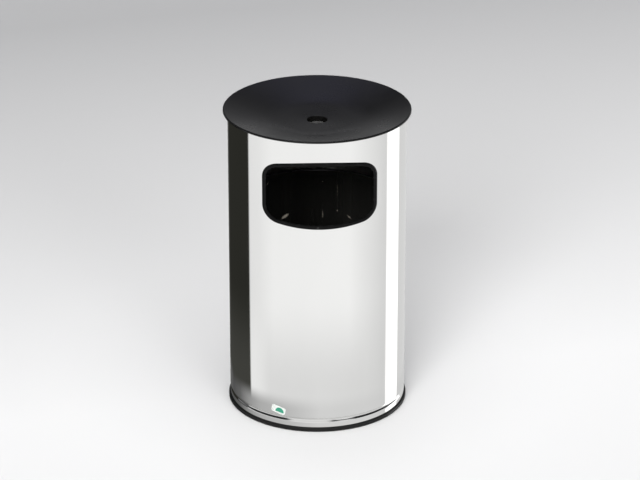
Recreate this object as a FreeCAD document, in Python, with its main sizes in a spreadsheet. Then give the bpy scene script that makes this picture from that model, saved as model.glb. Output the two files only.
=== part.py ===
import FreeCAD, Part
import math
import os
import re

import Sketcher

# An ashtray bin: a polished sheet-metal drum with a throw-in opening, a loose ash dish on top
# and a lift-out liner with a wire bail inside.
# The origin is the centre of the foot on the floor, +Z is up and the opening faces -Y.
# All lengths are in millimetres, angles in degrees.

DIMENSIONS = {
    # drum
    "overall_height": 670.0,
    "body_radius": 190.0,
    "sheet_gauge": 1.0,
    "shell_low": 3.5,
    "shell_top": 665.7,
    "top_flange": 4.0,
    "flange_bend": 1.4,
    "bead_height": 26.5,
    "bead_half": 4.0,
    "bead_depth": 3.0,
    # opening, measured to the outer edge of its trim and seen square on
    "opening_low": 470.0,
    "opening_high": 620.0,
    "opening_half": 120.4,
    "corner_radius": 36.5,
    "low_bow": 564.0,
    "high_bow": 451.0,
    "trim_face": 8.2,
    "trim_web": 2.0,
    "trim_proud": 2.2,
    "trim_round": 1.1,
    # floor pan
    "pan_low": 30.5,
    "pan_gauge": 1.2,
    "pan_flange": 13.0,
    "pan_bend": 2.5,
    # foot ring
    "ring_radius": 193.4,
    "ring_inner": 186.0,
    "ring_foot": 191.4,
    "ring_height": 9.4,
    "ring_inner_height": 8.0,
    "ring_round": 2.0,
    "ring_top_round": 1.5,
    # sticker
    "label_width": 33.0,
    "label_height": 17.0,
    "label_low": 34.5,
    "label_gauge": 0.25,
    "label_corner": 5.0,
    "label_angle": -28.0,
    # ash dish
    "dish_radius": 200.0,
    "dish_gauge": 1.5,
    "lip_low": 666.0,
    "lip_bend": 2.5,
    "flank_slope": 0.222,
    "flank_inner": 95.0,
    "flank_blend": 240.0,
    "hole_radius": 21.0,
    "hole_height": 643.0,
    "hole_bend": 3.5,
    "collar_low": 631.0,
    # centring ring under the dish
    "centring_radius": 185.2,
    "centring_gauge": 1.5,
    "centring_low": 652.0,
    # liner
    "liner_radius": 178.0,
    "liner_gauge": 0.8,
    "liner_low": 32.0,
    "liner_floor_height": 38.0,
    "liner_floor_bend": 2.0,
    "rim_height": 454.2,
    "rim_wire_radius": 2.0,
    "wire_play": 0.05,
    # ears and rivets
    "ear_gauge": 1.5,
    "ear_half": 13.0,
    "ear_low": 422.0,
    "ear_round": 9.0,
    "ear_shoulder": 4.0,
    "ear_taper": 6.0,
    "rivet_radius": 2.0,
    "rivet_head": 4.0,
    "rivet_head_height": 1.4,
    "rivet_height": 430.0,
    "rivet_pitch": 14.0,
    "seat_play": 0.05,
    # bail
    "bail_height": 460.0,
    "bail_wire": 2.0,
    "pivot_play": 0.06,
    "bail_end": 170.0,
    "bail_bend": 4.0,
    "bend_start": 177.8,
    "bail_reach": 157.0,
    "bail_droop": 1.5,
    "grip_radius": 6.0,
    "grip_span": 28.0,
}

doc = FreeCAD.newDocument("ashtray_bin")
sheet = doc.addObject("Spreadsheet::Sheet", "dims")
for row, (alias, number) in enumerate(DIMENSIONS.items(), start=1):
    sheet.set("A%d" % row, alias.replace("_", " "))
    sheet.set("B%d" % row, str(number))
    sheet.setAlias("B%d" % row, alias)
doc.recompute()

subparts = []


# ---------------------------------------------------------------- helpers

def from_sheet(formula):
    """The formula with the sheet's name in front of each of its aliases."""
    def qualified(word):
        return "dims." + word[0] if word[0] in DIMENSIONS else word[0]
    return re.sub(r"[a-z][a-z_]*", qualified, formula)


def value(formula):
    """The number that a formula over the sheet gives now."""
    return float(sheet.evalExpression(from_sheet(formula)))


def bind(item, **formulas):
    """Drive an object's properties from the sheet."""
    for name, formula in formulas.items():
        item.setExpression(name, from_sheet(formula))
    return item


def keep(item, label):
    """List an object as a finished sub-part under its own label."""
    item.Label = label
    subparts.append(item)
    return item


def new_body(name):
    return doc.addObject("PartDesign::Body", name)


def sketch_on(body, role, name, offset=None):
    """A sketch on one of the body's own origin planes, moved along its normal if asked."""
    sketch = body.newObject("Sketcher::SketchObject", name)
    plane = [item for item in body.Origin.OriginFeatures if item.Role == role][0]
    sketch.AttachmentSupport = [(plane, "")]
    sketch.MapMode = "FlatFace"
    if offset:
        sketch.setExpression("AttachmentOffset.Base.z", from_sheet(offset))
    return sketch


def drive(sketch, kind, *targets, formula):
    """A dimensional constraint that follows a formula over the sheet."""
    index = sketch.addConstraint(Sketcher.Constraint(kind, *targets, value(formula)))
    sketch.setExpression("Constraints[%d]" % index, from_sheet(formula))


def place_point(sketch, edge, end, across, up):
    """Fix a sketch point at (across, up), where "0" means on the axis itself."""
    for kind, formula, axis in (("DistanceX", across, -2), ("DistanceY", up, -1)):
        if formula == "0":
            sketch.addConstraint(Sketcher.Constraint("PointOnObject", edge, end, axis))
        else:
            drive(sketch, kind, -1, 1, edge, end, formula=formula)


def arc_between(start, end, radius, turn):
    """The arc under half a turn from start to end, turning left (1) or right (-1)."""
    chord = end - start
    side = FreeCAD.Vector(-chord.y, chord.x, 0).normalize() * turn
    rise = math.sqrt(max(radius ** 2 - (chord.Length / 2) ** 2, 0.0))
    centre = start + chord / 2 + side * rise
    first, last = (start, end) if turn > 0 else (end, start)
    angles = [math.atan2(point.y - centre.y, point.x - centre.x) for point in (first, last)]
    circle = Part.Circle(centre, FreeCAD.Vector(0, 0, 1), radius)
    return Part.ArcOfCircle(circle, *angles)


def draw_outline(sketch, corners):
    """A closed outline. A corner is (across, up), or (across, up, radius, turn) where an arc leads
    to it from the corner before. Every coordinate and radius is a formula over the sheet."""
    points = [FreeCAD.Vector(value(corner[0]), value(corner[1]), 0) for corner in corners]
    edges = []
    for index, corner in enumerate(corners):
        start, end = points[index - 1], points[index]
        if len(corner) == 2:
            edges.append((sketch.addGeometry(Part.LineSegment(start, end)), 1, 2))
            continue
        radius, turn = corner[2:]
        edge = sketch.addGeometry(arc_between(start, end, value(radius), turn))
        edges.append((edge, 1, 2) if turn > 0 else (edge, 2, 1))
        drive(sketch, "Radius", edge, formula=radius)
    for index, corner in enumerate(corners):
        edge, _, end = edges[index]
        following, start, _ = edges[(index + 1) % len(edges)]
        sketch.addConstraint(Sketcher.Constraint("Coincident", edge, end, following, start))
        place_point(sketch, edge, end, corner[0], corner[1])


def revolve(body, name, corners, kind="PartDesign::Revolution"):
    """Turn an outline in the XZ plane once round the Z axis, adding or cutting."""
    sketch = sketch_on(body, "XZ_Plane", name + "_profile")
    draw_outline(sketch, corners)
    feature = body.newObject(kind, name)
    feature.Profile = sketch
    feature.ReferenceAxis = (sketch, ["V_Axis"])
    feature.Angle = 360
    doc.recompute()
    return feature


def must_cut(body, before):
    """Stop if the last feature has taken nothing away."""
    if not body.Shape.Volume < before - 1e-3:
        raise RuntimeError(body.Name + ": the last cut removed nothing")


def cut_round(body, name, corners):
    before = body.Shape.Volume
    revolve(body, name, corners, "PartDesign::Groove")
    must_cut(body, before)


def pad(body, name, sketch, length, reverse=False):
    feature = body.newObject("PartDesign::Pad", name)
    feature.Profile = sketch
    feature.Reversed = reverse
    bind(feature, Length=length)
    doc.recompute()
    return feature


def pocket(body, name, sketch, length, reverse=False):
    before = body.Shape.Volume
    feature = body.newObject("PartDesign::Pocket", name)
    feature.Profile = sketch
    feature.Reversed = reverse
    bind(feature, Length=length)
    doc.recompute()
    must_cut(body, before)
    return feature


def round_edges(body, name, radius, *rings):
    """Fillet the circular edges round the Z axis that lie at the given (radius, height)."""
    base = body.Tip
    names = []
    for index, edge in enumerate(base.Shape.Edges, start=1):
        if edge.Curve.TypeId != "Part::GeomCircle":
            continue
        for across, up in rings:
            level = abs(edge.Curve.Center.z - value(up)) < 0.01
            if level and abs(edge.Curve.Radius - value(across)) < 0.01:
                names.append("Edge%d" % index)
    feature = body.newObject("PartDesign::Fillet", name)
    feature.Base = (base, names)
    bind(feature, Radius=radius)
    doc.recompute()


def opening_outline(sketch, inset):
    """The throw-in opening: upright sides, round corners, bowed top and bottom, all tangent.
    The inset moves the whole outline inwards, keeping the centres of its arcs."""
    half = value("opening_half - (%s)" % inset)
    corner = value("corner_radius - (%s)" % inset)
    low_bow = value("low_bow - (%s)" % inset)
    high_bow = value("high_bow - (%s)" % inset)
    low_centre = value("opening_low + low_bow")
    high_centre = value("opening_high - high_bow")
    side = half - corner
    low = low_centre - math.sqrt((low_bow - corner) ** 2 - side ** 2)
    high = high_centre + math.sqrt((high_bow - corner) ** 2 - side ** 2)
    high_turn = math.atan2(high - high_centre, side)
    low_turn = math.atan2(low_centre - low, side)

    def line(across, start, end):
        return sketch.addGeometry(Part.LineSegment(FreeCAD.Vector(across, start, 0),
                                                   FreeCAD.Vector(across, end, 0)))

    def arc(across, up, radius, start, end):
        circle = Part.Circle(FreeCAD.Vector(across, up, 0), FreeCAD.Vector(0, 0, 1), radius)
        return sketch.addGeometry(Part.ArcOfCircle(circle, start, end))

    right = line(half, low, high)
    top_right = arc(side, high, corner, 0, high_turn)
    top = arc(0, high_centre, high_bow, high_turn, math.pi - high_turn)
    top_left = arc(-side, high, corner, math.pi - high_turn, math.pi)
    left = line(-half, high, low)
    low_left = arc(-side, low, corner, math.pi, math.pi + low_turn)
    bottom = arc(0, low_centre, low_bow, math.pi + low_turn, 2 * math.pi - low_turn)
    low_right = arc(side, low, corner, -low_turn, 0)

    ring = [right, top_right, top, top_left, left, low_left, bottom, low_right]
    for edge, following in zip(ring, ring[1:] + ring[:1]):
        sketch.addConstraint(Sketcher.Constraint("Tangent", edge, 2, following, 1))
    for edge in (top_left, low_left, low_right):
        sketch.addConstraint(Sketcher.Constraint("Equal", top_right, edge))
    for edge in (right, left):
        sketch.addConstraint(Sketcher.Constraint("Vertical", edge))
    for edge in (top, bottom):
        sketch.addConstraint(Sketcher.Constraint("PointOnObject", edge, 3, -2))
    drive(sketch, "DistanceX", -1, 1, right, 1, formula="opening_half - (%s)" % inset)
    drive(sketch, "DistanceX", left, 1, -1, 1, formula="opening_half - (%s)" % inset)
    drive(sketch, "Radius", top_right, formula="corner_radius - (%s)" % inset)
    drive(sketch, "Radius", top, formula="high_bow - (%s)" % inset)
    drive(sketch, "Radius", bottom, formula="low_bow - (%s)" % inset)
    drive(sketch, "DistanceY", -1, 1, top, 3, formula="opening_high - high_bow")
    drive(sketch, "DistanceY", -1, 1, bottom, 3, formula="opening_low + low_bow")


# ---------------------------------------------------------------- drum

def make_body_shell():
    """Rolled sheet with a pressed-in bead near the foot and its top edge turned inwards."""
    bead_radius = "((bead_half^2 + bead_depth^2) / (2 * bead_depth))"
    inner_radius = "(%s + sheet_gauge)" % bead_radius
    centre_out = "(%s - bead_depth + sheet_gauge)" % bead_radius
    inner_half = "sqrt(%s^2 - %s^2)" % (inner_radius, centre_out)
    inside = "body_radius - sheet_gauge"

    body = new_body("shell")
    revolve(body, "shell_sheet", [
        ("body_radius", "shell_low"),
        ("body_radius", "bead_height - bead_half"),
        ("body_radius", "bead_height + bead_half", bead_radius, -1),
        ("body_radius", "shell_top"),
        ("body_radius - top_flange", "shell_top"),
        ("body_radius - top_flange", "shell_top - sheet_gauge"),
        (inside, "shell_top - sheet_gauge"),
        (inside, "bead_height + " + inner_half),
        (inside, "bead_height - " + inner_half, inner_radius, 1),
        (inside, "shell_low"),
    ])
    cutout = sketch_on(body, "XZ_Plane", "shell_cutout_outline")
    opening_outline(cutout, "trim_face - trim_web")
    pocket(body, "shell_cutout", cutout, "body_radius * 1.2", reverse=True)
    round_edges(body, "shell_top_bend", "flange_bend", ("body_radius", "shell_top"))
    return keep(body, "body_shell")


def make_opening_trim(shell):
    """U-section edging pushed over the cut edge of the sheet, all round the opening."""
    body = new_body("trim")
    outline = sketch_on(body, "XZ_Plane", "trim_outline")
    opening_outline(outline, "0")
    opening_outline(outline, "trim_face")
    pad(body, "trim_block", outline, "body_radius * 1.2")
    outside = "body_radius + trim_proud"
    inside = "body_radius - sheet_gauge - trim_proud"
    cut_round(body, "trim_front", [(outside, "opening_low - 20"), ("body_radius * 2", "opening_low - 20"),
                                   ("body_radius * 2", "opening_high + 20"), (outside, "opening_high + 20")])
    cut_round(body, "trim_back", [("0", "opening_low - 20"), (inside, "opening_low - 20"),
                                  (inside, "opening_high + 20"), ("0", "opening_high + 20")])

    def on_front(edge):
        middle = edge.valueAt((edge.FirstParameter + edge.LastParameter) / 2)
        return abs(math.hypot(middle.x, middle.y) - value(outside)) < 0.05

    base = body.Tip
    names = ["Edge%d" % index for index, edge in enumerate(base.Shape.Edges, 1) if on_front(edge)]
    rounded = body.newObject("PartDesign::Fillet", "trim_rounding")
    rounded.Base = (base, names)
    bind(rounded, Radius="trim_round")
    doc.recompute()

    trim = doc.addObject("Part::Cut", "trim_on_sheet")
    trim.Base = body
    trim.Tool = shell
    doc.recompute()
    return keep(trim, "opening_trim")


def make_floor_pan():
    """Pressed bottom with an upturned flange, resting on the bead."""
    outer = "body_radius - sheet_gauge"
    body = new_body("pan")
    revolve(body, "pan_sheet", [
        ("0", "pan_low"),
        (outer, "pan_low"),
        (outer, "pan_low + pan_flange"),
        (outer + " - pan_gauge", "pan_low + pan_flange"),
        (outer + " - pan_gauge", "pan_low + pan_gauge"),
        ("0", "pan_low + pan_gauge"),
    ])
    round_edges(body, "pan_outer_bend", "pan_bend", (outer, "pan_low"))
    round_edges(body, "pan_inner_bend", "pan_bend - pan_gauge",
                (outer + " - pan_gauge", "pan_low + pan_gauge"))
    return keep(body, "floor_pan")


def make_base_ring():
    """Edging ring on the drum's lower edge, which the bin stands on."""
    inside = "body_radius - sheet_gauge"
    body = new_body("foot")
    revolve(body, "foot_profile", [
        ("ring_inner", "0"),
        ("ring_foot", "0"),
        ("ring_radius", "ring_round", "ring_round", 1),
        ("ring_radius", "ring_height"),
        ("body_radius", "ring_height"),
        ("body_radius", "shell_low"),
        (inside, "shell_low"),
        (inside, "ring_inner_height"),
        ("ring_inner", "ring_inner_height"),
    ])
    round_edges(body, "foot_top_round", "ring_top_round", ("ring_radius", "ring_height"))
    return keep(body, "base_ring")


def make_info_label():
    """Thin sticker with round corners, lying on the drum below the opening's left side."""
    body = new_body("label")
    outline = sketch_on(body, "XZ_Plane", "label_outline")
    half = "label_width / 2"
    inner = half + " - label_corner"
    top = "label_low + label_height"
    draw_outline(outline, [
        (inner, "label_low"),
        (half, "label_low + label_corner", "label_corner", 1),
        (half, top + " - label_corner"),
        (inner, top, "label_corner", 1),
        ("-(%s)" % inner, top),
        ("-(%s)" % half, top + " - label_corner", "label_corner", 1),
        ("-(%s)" % half, "label_low + label_corner"),
        ("-(%s)" % inner, "label_low", "label_corner", 1),
    ])
    pad(body, "label_block", outline, "body_radius * 1.2")
    low, high = "label_low - 5", "label_low + label_height + 5"
    cut_round(body, "label_front", [("body_radius + label_gauge", low), ("body_radius * 2", low),
                                    ("body_radius * 2", high), ("body_radius + label_gauge", high)])
    cut_round(body, "label_back", [("0", low), ("body_radius", low), ("body_radius", high), ("0", high)])
    body.Placement = FreeCAD.Placement(FreeCAD.Vector(0, 0, 0),
                                       FreeCAD.Rotation(FreeCAD.Vector(0, 0, 1), value("label_angle")))
    return keep(body, "info_label")


# ---------------------------------------------------------------- ash dish

# Height of the sharp corner that the lip's bend takes off, so that the crest is the overall height.
DISH_CORNER = "(overall_height + lip_bend * (flank_slope + sqrt(1 + flank_slope^2) - 1))"


def flank_height(radius):
    """Formula for the height of the dish's upper face on the flank."""
    return "(%s - flank_slope * (dish_radius - (%s)))" % (DISH_CORNER, radius)


def make_ash_dish():
    """Pressed dish: turned-down lip, sloping flank, flatter middle and a drawn-down drop hole."""
    lip_inner = "dish_radius - dish_gauge"
    collar = "hole_radius + dish_gauge"
    break_height = flank_height("flank_inner")
    middle_slope = "((%s - hole_height) / (flank_inner - hole_radius))" % break_height
    body = new_body("dish")
    revolve(body, "dish_sheet", [
        ("dish_radius", "lip_low"),
        ("dish_radius", DISH_CORNER),
        ("flank_inner", break_height),
        ("hole_radius", "hole_height"),
        ("hole_radius", "collar_low"),
        (collar, "collar_low"),
        (collar, "hole_height + dish_gauge * %s - dish_gauge" % middle_slope),
        ("flank_inner", break_height + " - dish_gauge"),
        (lip_inner, flank_height(lip_inner) + " - dish_gauge"),
        (lip_inner, "lip_low"),
    ])
    round_edges(body, "dish_crest", "lip_bend", ("dish_radius", DISH_CORNER))
    round_edges(body, "dish_blend", "flank_blend", ("flank_inner", break_height),
                ("flank_inner", break_height + " - dish_gauge"))
    round_edges(body, "dish_hole_bend", "hole_bend", ("hole_radius", "hole_height"))
    return keep(body, "ash_dish")


def make_centring_ring():
    """Strip ring welded under the dish, standing just inside the drum's turned-in edge."""
    outer = "centring_radius"
    inner = "centring_radius - centring_gauge"
    body = new_body("centring")
    revolve(body, "centring_strip", [
        (outer, "centring_low"),
        (outer, flank_height(outer) + " - dish_gauge"),
        (inner, flank_height(inner) + " - dish_gauge"),
        (inner, "centring_low"),
    ])
    return keep(body, "centring_ring")


# ---------------------------------------------------------------- liner

def draw_circle(sketch, up, radius):
    """A full circle centred on the sketch's upright axis."""
    circle = Part.Circle(FreeCAD.Vector(0, value(up), 0), FreeCAD.Vector(0, 0, 1), value(radius))
    edge = sketch.addGeometry(circle)
    place_point(sketch, edge, 3, "0", up)
    drive(sketch, "Radius", edge, formula=radius)


def draw_rivet_circles(sketch):
    for height in ("rivet_height", "rivet_height + rivet_pitch"):
        draw_circle(sketch, height, "rivet_radius")


def rivet_holes(body, name):
    """Two holes one above the other, drilled both ways along X from the axis."""
    for side, reverse in (("right", True), ("left", False)):
        sketch = sketch_on(body, "YZ_Plane", "%s_%s_outline" % (name, side))
        draw_rivet_circles(sketch)
        pocket(body, "%s_%s" % (name, side), sketch, "body_radius", reverse=reverse)


def make_liner_wall():
    """Rolled wall whose top edge is curled outwards round a wire."""
    inner = "liner_radius - liner_gauge"
    curl = "(rim_wire_radius + liner_gauge)"
    centre = "(liner_radius + rim_wire_radius)"
    body = new_body("liner_tube")
    revolve(body, "liner_sheet", [
        (inner, "liner_low"),
        ("liner_radius", "liner_low"),
        ("liner_radius", "rim_height"),
        (centre, "rim_height + rim_wire_radius", "rim_wire_radius", -1),
        (centre + " + rim_wire_radius", "rim_height", "rim_wire_radius", -1),
        (centre, "rim_height - rim_wire_radius", "rim_wire_radius", -1),
        (centre + " - 0.7 * rim_wire_radius", "rim_height - sqrt(0.51) * rim_wire_radius",
         "rim_wire_radius", -1),
        (centre + " - 0.7 * " + curl, "rim_height - sqrt(0.51) * " + curl),
        (centre, "rim_height - " + curl, curl, 1),
        (centre + " + " + curl, "rim_height", curl, 1),
        (centre, "rim_height + " + curl, curl, 1),
        (inner, "rim_height", curl, 1),
    ])
    rivet_holes(body, "liner_rivet_holes")
    return keep(body, "liner_wall")


def make_liner_floor():
    """Recessed floor with a downturned flange inside the wall's lower edge."""
    outer = "liner_radius - liner_gauge"
    body = new_body("liner_bottom")
    revolve(body, "liner_bottom_sheet", [
        ("0", "liner_floor_height"),
        (outer + " - liner_gauge", "liner_floor_height"),
        (outer + " - liner_gauge", "liner_low"),
        (outer, "liner_low"),
        (outer, "liner_floor_height + liner_gauge"),
        ("0", "liner_floor_height + liner_gauge"),
    ])
    round_edges(body, "liner_bottom_bend", "liner_floor_bend", (outer, "liner_floor_height + liner_gauge"))
    return keep(body, "liner_floor")


def make_liner_rim_wire():
    wire = doc.addObject("Part::Torus", "rim_wire_ring")
    bind(wire, Radius1="liner_radius + rim_wire_radius", Radius2="rim_wire_radius - wire_play")
    wire.setExpression("Placement.Base.z", from_sheet("rim_height"))
    return keep(wire, "liner_rim_wire")


def make_ear(side, direction):
    """Round-topped strip riveted inside the liner's wall, with the bail's pivot hole above the rim."""
    body = new_body(side + "_ear_strip")
    outline = sketch_on(body, "YZ_Plane", side + "_ear_outline")
    shoulder = "bail_height - ear_shoulder"
    draw_outline(outline, [
        ("ear_half", "ear_low"),
        ("ear_half", shoulder + " - ear_taper"),
        ("ear_round", shoulder),
        ("ear_round", "bail_height"),
        ("0", "bail_height + ear_round", "ear_round", 1),
        ("-ear_round", "bail_height", "ear_round", 1),
        ("-ear_round", shoulder),
        ("-ear_half", shoulder + " - ear_taper"),
        ("-ear_half", "ear_low"),
    ])
    draw_circle(outline, "bail_height", "bail_wire + pivot_play")
    draw_rivet_circles(outline)
    pad(body, side + "_ear_block", outline, "body_radius", reverse=direction < 0)
    outer = "liner_radius - liner_gauge"
    inner = outer + " - ear_gauge"
    low, high = "ear_low - 5", "bail_height + ear_round + 5"
    cut_round(body, side + "_ear_outside", [(outer, low), ("body_radius * 2", low),
                                            ("body_radius * 2", high), (outer, high)])
    cut_round(body, side + "_ear_inside", [("0", low), (inner, low), (inner, high), ("0", high)])
    return keep(body, side + "_ear")


def make_ear_rivets(side, direction):
    """Two rivets through the ear and the liner's wall, each with a head on both faces."""
    ear_face = "liner_radius - liner_gauge - ear_gauge - seat_play"
    lengthwise = FreeCAD.Rotation(FreeCAD.Vector(0, 1, 0), 90)
    rivets = []
    for number, height in enumerate(("rivet_height", "rivet_height + rivet_pitch"), start=1):
        name = "%s_rivet_%d" % (side, number)
        head = doc.addObject("Part::Cone", name + "_head")
        shank = doc.addObject("Part::Cylinder", name + "_shank")
        tail = doc.addObject("Part::Cone", name + "_tail")
        bind(head, Radius1="rivet_radius", Radius2="rivet_head", Height="rivet_head_height")
        bind(tail, Radius1="rivet_head", Radius2="rivet_radius", Height="rivet_head_height")
        bind(shank, Radius="rivet_radius", Height="liner_radius - (%s)" % ear_face)
        starts = {head: ear_face + " - rivet_head_height", shank: ear_face, tail: "liner_radius"}
        for piece, start in starts.items():
            piece.Placement = FreeCAD.Placement(FreeCAD.Vector(0, 0, 0), lengthwise)
            piece.setExpression("Placement.Base.x", from_sheet(start))
            piece.setExpression("Placement.Base.z", from_sheet(height))
        rivet = doc.addObject("Part::MultiFuse", name)
        rivet.Shapes = [head, shank, tail]
        rivets.append(rivet)
    pair = doc.addObject("Part::Compound", side + "_rivet_pair")
    pair.Links = rivets
    if direction < 0:
        pair.Placement = FreeCAD.Placement(FreeCAD.Vector(0, 0, 0),
                                           FreeCAD.Rotation(FreeCAD.Vector(0, 0, 1), 180))
    return keep(pair, side + "_ear_rivets")


# ---------------------------------------------------------------- bail

# The bail's bow is one arc about a point on the Y axis. Its radius follows from its reach and from
# the small bends that turn its ends into the ears.
BOW_RADIUS = ("((bend_start^2 + (bail_reach - bail_bend)^2 - bail_bend^2)"
              " / (2 * (bail_reach - 2 * bail_bend)))")
BOW_CENTRE = "(%s - bail_reach)" % BOW_RADIUS


def hang_from_pivot(item):
    """Move a piece drawn about the pivot line up to the ears, drooping till the bow meets the rim."""
    droop = FreeCAD.Rotation(FreeCAD.Vector(1, 0, 0), value("bail_droop"))
    item.Placement = FreeCAD.Placement(FreeCAD.Vector(0, 0, 0), droop)
    item.setExpression("Placement.Base.z", from_sheet("bail_height"))
    item.setExpression("Placement.Rotation.Angle", from_sheet("bail_droop"))


def make_bail():
    """Wire bow lying over the front of the rim, with its ends turned inwards through the ears."""
    bend_start, bend = value("bend_start"), value("bail_bend")
    bow, centre = value(BOW_RADIUS), value(BOW_CENTRE)
    end = value("bail_end")
    reach = math.atan2(-bend - centre, bend_start)

    body = new_body("bail_wire_bow")
    path = sketch_on(body, "XY_Plane", "bail_path")
    up = FreeCAD.Vector(0, 0, 1)

    def arc(across, along, radius, start, stop):
        circle = Part.Circle(FreeCAD.Vector(across, along, 0), up, radius)
        return path.addGeometry(Part.ArcOfCircle(circle, start, stop))

    left_end = path.addGeometry(Part.LineSegment(FreeCAD.Vector(-end, 0, 0),
                                                 FreeCAD.Vector(-bend_start, 0, 0)))
    left_bend = arc(-bend_start, -bend, bend, math.pi / 2, math.pi - reach)
    bow_arc = arc(0, centre, bow, math.pi - reach, 2 * math.pi + reach)
    right_bend = arc(bend_start, -bend, bend, reach, math.pi / 2)
    right_end = path.addGeometry(Part.LineSegment(FreeCAD.Vector(bend_start, 0, 0),
                                                  FreeCAD.Vector(end, 0, 0)))
    for first, end_of_first, second, start_of_second in (
            (left_end, 2, left_bend, 1), (left_bend, 2, bow_arc, 1),
            (bow_arc, 2, right_bend, 1), (right_bend, 2, right_end, 1)):
        path.addConstraint(Sketcher.Constraint("Tangent", first, end_of_first, second, start_of_second))
    place_point(path, left_end, 1, "-bail_end", "0")
    place_point(path, right_end, 2, "bail_end", "0")
    path.addConstraint(Sketcher.Constraint("Horizontal", left_end))
    path.addConstraint(Sketcher.Constraint("Horizontal", right_end))
    path.addConstraint(Sketcher.Constraint("PointOnObject", bow_arc, 3, -2))
    drive(path, "Radius", left_bend, formula="bail_bend")
    drive(path, "Radius", right_bend, formula="bail_bend")
    drive(path, "Radius", bow_arc, formula=BOW_RADIUS)
    drive(path, "DistanceY", -1, 1, bow_arc, 3, formula=BOW_CENTRE)

    section = sketch_on(body, "YZ_Plane", "bail_section", offset="-bail_end")
    draw_circle(section, "0", "bail_wire")
    doc.recompute()
    pipe = body.newObject("PartDesign::AdditivePipe", "bail_sweep")
    pipe.Profile = section
    pipe.Spine = (path, ["Edge%d" % number for number in range(1, 6)])
    doc.recompute()
    hang_from_pivot(body)
    return keep(body, "bail")


def make_bail_grip():
    """Moulded sleeve over the middle of the bow."""
    sleeve = doc.addObject("Part::Torus", "grip_outer")
    core = doc.addObject("Part::Torus", "grip_bore")
    bind(sleeve, Radius1=BOW_RADIUS, Radius2="grip_radius", Angle3="grip_span")
    bind(core, Radius1=BOW_RADIUS, Radius2="bail_wire + wire_play", Angle3="grip_span")
    turn = FreeCAD.Rotation(FreeCAD.Vector(0, 0, 1), -90 - value("grip_span") / 2)
    for ring in (sleeve, core):
        ring.Placement = FreeCAD.Placement(FreeCAD.Vector(0, 0, 0), turn)
        ring.setExpression("Placement.Base.y", from_sheet(BOW_CENTRE))
    grip = doc.addObject("Part::Cut", "grip_sleeve")
    grip.Base = sleeve
    grip.Tool = core
    hang_from_pivot(grip)
    return keep(grip, "bail_grip")


# ---------------------------------------------------------------- whole bin

def build():
    shell = make_body_shell()
    make_opening_trim(shell)
    make_floor_pan()
    make_base_ring()
    make_info_label()
    make_ash_dish()
    make_centring_ring()
    make_liner_wall()
    make_liner_floor()
    make_liner_rim_wire()
    for side, direction in (("left", -1), ("right", 1)):
        make_ear(side, direction)
        make_ear_rivets(side, direction)
    make_bail()
    make_bail_grip()
    doc.recompute()


def check():
    """Stop on any failed object, and on any sub-part without a valid shape."""
    for item in doc.Objects:
        if "Invalid" in item.State or "Error" in item.State:
            raise RuntimeError("%s failed: %s" % (item.Name, item.State))
    for item in subparts:
        if item.Shape.isNull() or not item.Shape.isValid():
            raise RuntimeError(item.Label + " has no valid shape")


def write():
    os.makedirs("parts", exist_ok=True)
    for item in subparts:
        item.Shape.exportStep(os.path.join("parts", item.Label + ".step"))
        print("%-18s solids %d  volume %.0f" % (item.Label, len(item.Shape.Solids), item.Shape.Volume))


build()
check()
write()
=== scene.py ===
import math

import bpy
from mathutils import Matrix, Vector


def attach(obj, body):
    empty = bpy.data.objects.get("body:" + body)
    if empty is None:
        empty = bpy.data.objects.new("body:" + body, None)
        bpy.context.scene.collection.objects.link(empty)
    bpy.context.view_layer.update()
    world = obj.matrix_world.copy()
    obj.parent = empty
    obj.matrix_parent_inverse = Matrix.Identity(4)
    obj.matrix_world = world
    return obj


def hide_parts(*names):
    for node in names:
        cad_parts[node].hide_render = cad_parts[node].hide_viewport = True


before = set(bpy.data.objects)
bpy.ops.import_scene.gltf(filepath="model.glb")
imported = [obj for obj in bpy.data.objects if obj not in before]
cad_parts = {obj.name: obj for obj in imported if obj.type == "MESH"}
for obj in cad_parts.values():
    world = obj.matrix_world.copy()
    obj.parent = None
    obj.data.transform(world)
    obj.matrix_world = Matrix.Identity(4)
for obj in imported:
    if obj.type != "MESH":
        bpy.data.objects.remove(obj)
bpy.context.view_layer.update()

# An ashtray bin: polished steel drum, black ash dish on top, liner with a bail inside.
# Metres, in the CAD model's frame: +Z up, the throw-in opening faces -Y.

MM = 0.001
TURN_STEPS = 288            # facets round every turned piece
SHARP_ANGLE = math.radians(38)

# Sizes, which follow the CAD model's; only the bead is a softer groove here.
BODY_RADIUS = 190 * MM
SHEET = 1.0 * MM
SHELL_LOW = 3.5 * MM
SHELL_TOP = 665.7 * MM
TOP_FLANGE = 4.0 * MM
BEAD_HEIGHT = 26.5 * MM
BEAD_DEPTH = 3.2 * MM
BEAD_HALF_WIDTH = 6.0 * MM

OPENING_LOW, OPENING_HIGH = 470 * MM, 620 * MM
OPENING_HALF = 120.4 * MM
CORNER_RADIUS = 36.5 * MM
LOW_BOW, HIGH_BOW = 564 * MM, 451 * MM
TRIM_FACE, TRIM_WEB, TRIM_PROUD = 8.2 * MM, 2.0 * MM, 2.2 * MM

DISH_RADIUS = 199.98 * MM
DISH_GAUGE = 1.5 * MM
DISH_TOP = 669.97 * MM
LIP_LOW = 666 * MM
LIP_BEND = 2.5 * MM
FLANK_SLOPE = 0.222
FLANK_INNER = 95 * MM
HOLE_RADIUS, HOLE_HEIGHT = 21 * MM, 643 * MM
COLLAR_LOW = 631 * MM

LINER_RADIUS, LINER_GAUGE = 178 * MM, 0.8 * MM
LINER_LOW, LINER_FLOOR = 32 * MM, 38 * MM
RIM_HEIGHT, RIM_WIRE = 454.2 * MM, 2.0 * MM
EAR_GAUGE = 1.5 * MM
RIVET_HEIGHTS = (430 * MM, 444 * MM)

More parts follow.
